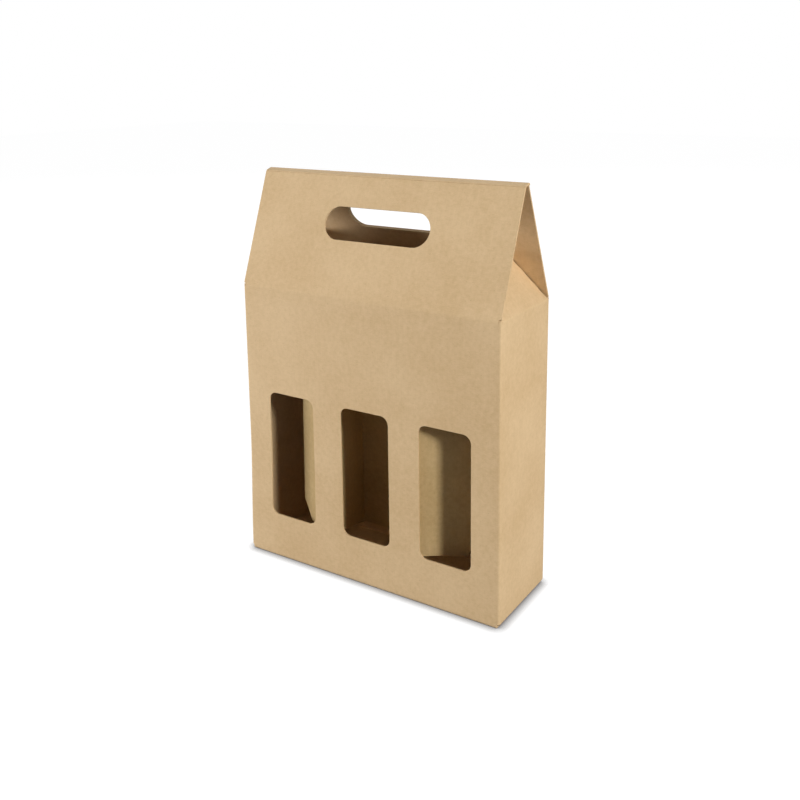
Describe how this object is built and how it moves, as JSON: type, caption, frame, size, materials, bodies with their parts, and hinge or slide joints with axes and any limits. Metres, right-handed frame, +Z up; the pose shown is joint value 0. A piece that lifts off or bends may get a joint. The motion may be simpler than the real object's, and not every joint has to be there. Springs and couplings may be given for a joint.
{
  "type": "three-bottle wine box",
  "caption": "Gable-topped wine box folded from kraft board, with windows in its front, a hand slot through both slopes, a closing flap that hooks over the back slope and a bottle divider inside.",
  "frame": {"origin": "middle of the underside, on the floor", "axes": "+X along the front to the right, +Y from the windowed front to the back, +Z up"},
  "size_m": [0.27, 0.094, 0.381],
  "materials": {
    "kraft_outer": "matt kraft paper over micro-flute board",
    "kraft_flap": "matt kraft paper over micro-flute board",
    "kraft_inner": "matt unbleached kraft board"
  },
  "bodies": {
    "carton": {"carton": "kraft_outer", "divider": "kraft_inner"},
    "closing_flap": {"closing_flap": "kraft_flap"}
  },
  "joints": [
    {"name": "closing_flap_hinge", "type": "hinge", "parent": "carton", "child": "closing_flap", "pos_m": [0, -0.0063, 0.37823], "axis": [1, 0, 0], "range_deg": [0, 110]}
  ]
}
